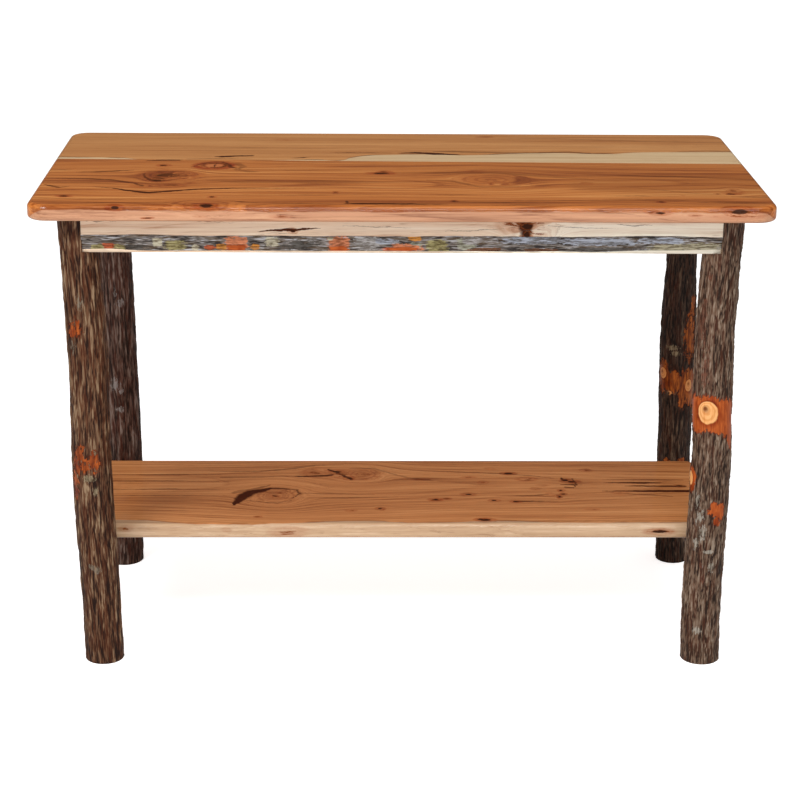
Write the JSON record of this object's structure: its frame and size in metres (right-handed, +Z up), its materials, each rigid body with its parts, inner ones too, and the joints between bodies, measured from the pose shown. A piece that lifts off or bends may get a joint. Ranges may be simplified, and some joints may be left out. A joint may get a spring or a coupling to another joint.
{
  "type": "rustic console table",
  "caption": "Rectangular wood table on bark-covered pole legs, with a two-board top, wane-edged aprons and a low shelf board on rungs between the legs.",
  "frame": {"origin": "on the floor, under the middle of the table top", "axes": "+X along the top's length, +Z up, the front towards -Y"},
  "size_m": [1.118, 0.559, 0.762],
  "materials": {
    "top_board_back": "hickory heartwood under a satin lacquer",
    "top_board_front": "hickory heartwood under a satin lacquer",
    "apron_front": "sawn hickory above a wane edge with the bark on",
    "apron_back": "sawn hickory above a wane edge with the bark on",
    "apron_left": "sawn hickory above a wane edge with the bark on",
    "apron_right": "sawn hickory above a wane edge with the bark on",
    "top_cleat_front": "planed hickory, unfinished",
    "top_cleat_back": "planed hickory, unfinished",
    "shelf_board": "hickory with knots under a satin lacquer",
    "shelf_rung_left": "hickory pole with the bark on",
    "shelf_rung_right": "hickory pole with the bark on",
    "leg_front_left": "hickory pole with the bark on, satin lacquer",
    "corner_block_front_left": "planed hickory, unfinished",
    "leg_front_right": "hickory pole with the bark on, satin lacquer",
    "corner_block_front_right": "planed hickory, unfinished",
    "leg_back_left": "hickory pole with the bark on, satin lacquer",
    "corner_block_back_left": "planed hickory, unfinished",
    "leg_back_right": "hickory pole with the bark on, satin lacquer",
    "corner_block_back_right": "planed hickory, unfinished",
    "screws": "zinc plated countersunk wood screws"
  },
  "bodies": {
    "root": {"top_board_back": "top_board_back", "top_board_front": "top_board_front", "apron_front": "apron_front", "apron_back": "apron_back", "apron_left": "apron_left", "apron_right": "apron_right", "top_cleat_front": "top_cleat_front", "top_cleat_back": "top_cleat_back", "shelf_board": "shelf_board", "shelf_rung_left": "shelf_rung_left", "shelf_rung_right": "shelf_rung_right", "leg_front_left": "leg_front_left", "corner_block_front_left": "corner_block_front_left", "leg_front_right": "leg_front_right", "corner_block_front_right": "corner_block_front_right", "leg_back_left": "leg_back_left", "corner_block_back_left": "corner_block_back_left", "leg_back_right": "leg_back_right", "corner_block_back_right": "corner_block_back_right", "leg_screws": "screws", "block_screws": "screws", "cleat_screws": "screws", "top_screws": "screws", "shelf_screws": "screws"}
  },
  "joints": []
}
